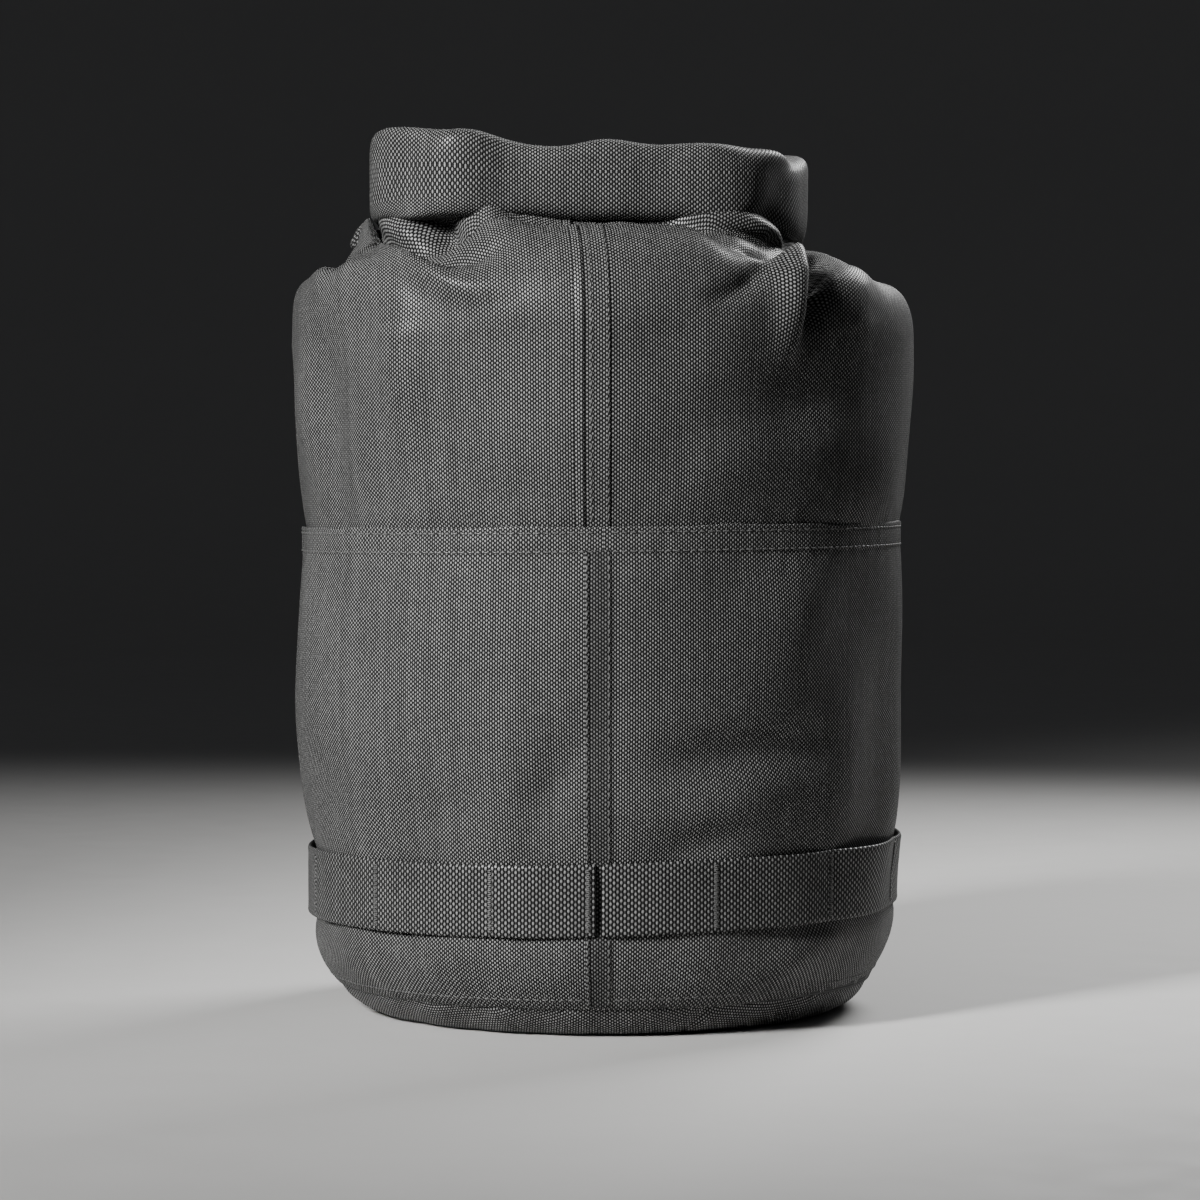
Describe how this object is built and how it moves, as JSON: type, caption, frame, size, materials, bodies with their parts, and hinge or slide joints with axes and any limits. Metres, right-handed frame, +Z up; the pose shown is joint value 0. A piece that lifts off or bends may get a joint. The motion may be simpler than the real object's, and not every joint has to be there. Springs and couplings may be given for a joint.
{
  "type": "compression sack",
  "caption": "Round-bottomed cloth sack whose mouth rolls down on a stiff strip and buckles into a carrying ring, with a webbing band of lashing loops round the foot.",
  "frame": {"origin": "centre of the bounding box's underside, on the sack's own axis where it stands on a table", "axes": "+Z up the sack's axis to the rolled mouth, -Y is the front with the vertical seam, +Y the back with the buckle, +X to the right as seen from the front"},
  "size_m": [0.234, 0.235, 0.323],
  "materials": {
    "cloth": "coarse plain-weave coated nylon, semi-matt",
    "binding_tape": "fine woven nylon tape",
    "webbing": "ribbed woven nylon webbing",
    "thread": "bonded nylon thread in dense bars",
    "buckle_plastic": "moulded, fine matt texture",
    "strip_plastic": "smooth extruded strip"
  },
  "bodies": {
    "sack": {"base_panel": "cloth", "base_binding": "binding_tape", "lower_body": "cloth", "upper_body": "cloth", "waist_lap": "cloth", "lower_seam": "cloth", "upper_seam": "cloth", "seam_binding": "binding_tape", "webbing_band": "webbing", "webbing_bartacks": "thread", "neck": "cloth"},
    "closure": {"rolled_mouth": "cloth", "mouth_strip": "strip_plastic", "left_strap_tab": "webbing", "buckle_socket": "buckle_plastic"},
    "buckle_plug": {"buckle_plug": "buckle_plastic", "right_strap_tab": "webbing"},
    "upper_prong": {"upper_prong": "buckle_plastic"},
    "lower_prong": {"lower_prong": "buckle_plastic"}
  },
  "joints": [
    {"name": "closure_lift", "type": "slide", "parent": "sack", "child": "closure", "axis": [0, 0, 1], "range_m": [0, 0.018]},
    {"name": "buckle_release", "type": "slide", "parent": "closure", "child": "buckle_plug", "axis": [1, 0, 0], "range_m": [0, 0.028], "deforming": ["right_strap_tab", "upper_prong", "lower_prong"]},
    {"name": "upper_prong_flex", "type": "hinge", "parent": "buckle_plug", "child": "upper_prong", "pos_m": [0.0067, 0.064, 0.3155], "axis": [0, -1, 0], "range_deg": [0, 9], "stiffness_Nm_per_rad": 0.5},
    {"name": "lower_prong_flex", "type": "hinge", "parent": "buckle_plug", "child": "lower_prong", "pos_m": [0.0067, 0.064, 0.2965], "axis": [0, 1, 0], "range_deg": [0, 9], "stiffness_Nm_per_rad": 0.5}
  ]
}
